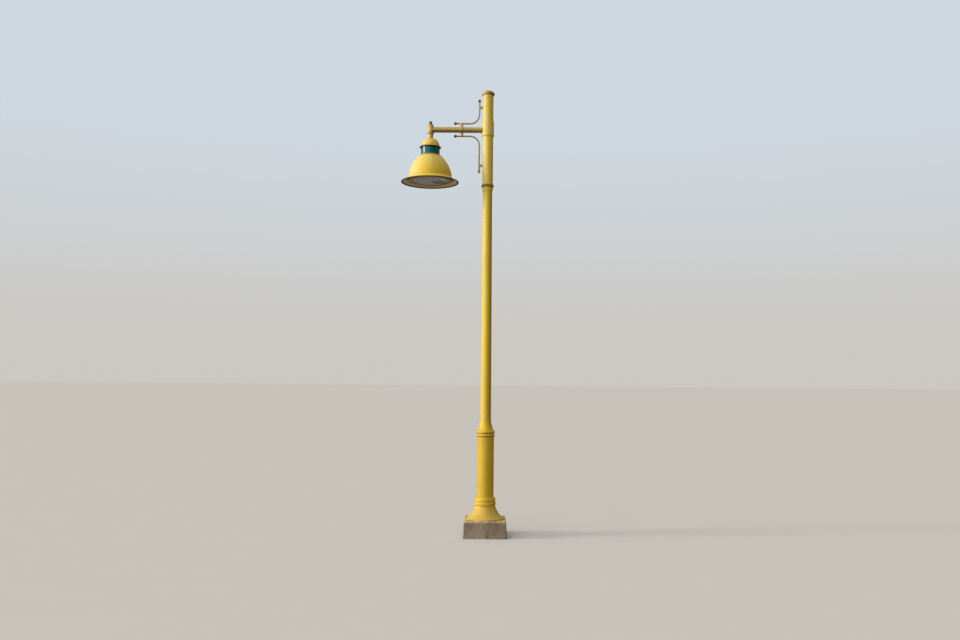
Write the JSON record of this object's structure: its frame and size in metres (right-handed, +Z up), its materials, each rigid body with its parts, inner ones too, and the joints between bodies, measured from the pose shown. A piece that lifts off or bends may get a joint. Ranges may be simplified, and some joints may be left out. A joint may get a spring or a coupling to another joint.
{
  "type": "park lamp post",
  "caption": "Tall round lamp post on a concrete block, with a bell shaped shade hung from a side arm between two bent rods and a hinged glass door under the lamp.",
  "frame": {"origin": "on the ground at the post's axis, the lower end of the cable duct through the footing", "axes": "+Z up along the post, the arm reaches towards -X, the picture's viewer stands at -Y"},
  "size_m": [1.2329, 0.66, 5.0485],
  "materials": {
    "concrete": "cast, stained",
    "yellow_paint": "weathered gloss",
    "green_paint": "gloss",
    "dark_paint": "gloss",
    "spun_aluminium": "satin",
    "gasket_rubber": "matte",
    "socket_ceramic": "glazed",
    "bulb_glass": "coated white",
    "lens_glass": "dusty clear",
    "bare_steel": "dull"
  },
  "bodies": {
    "post": {"footing": "concrete", "base_casting": "yellow_paint", "pedestal": "yellow_paint", "hand_hole_cover": "yellow_paint", "pedestal_cap": "yellow_paint", "shaft": "yellow_paint", "shaft_collar": "yellow_paint", "sleeve": "yellow_paint", "arm_collar": "yellow_paint", "post_cap": "yellow_paint", "arm": "yellow_paint", "arm_hub": "yellow_paint", "upper_rod": "yellow_paint", "lower_rod": "yellow_paint", "upper_stand_off": "yellow_paint", "lower_stand_off": "yellow_paint", "upper_end_ball": "dark_paint", "upper_tip_ball": "dark_paint", "lower_end_ball": "dark_paint", "lower_tip_ball": "dark_paint", "barrel": "yellow_paint", "barrel_knob": "dark_paint", "stem": "yellow_paint", "dome_cap": "yellow_paint", "neck_band": "green_paint", "shade": "yellow_paint", "reflector": "spun_aluminium", "reflector_ring": "spun_aluminium", "seat_ring": "yellow_paint", "gasket": "gasket_rubber", "lamp_socket": "socket_ceramic", "lamp_bulb": "bulb_glass", "hinge_bracket": "yellow_paint"},
    "lens_door": {"door_ring": "yellow_paint", "lens": "lens_glass", "hinge_pin": "bare_steel", "closing_screw": "bare_steel"}
  },
  "joints": [
    {"name": "lens_door_hinge", "type": "hinge", "parent": "post", "child": "lens_door", "pos_m": [-0.4065, 0, 3.9968], "axis": [0, -1, 0], "range_deg": [0, 95]}
  ]
}
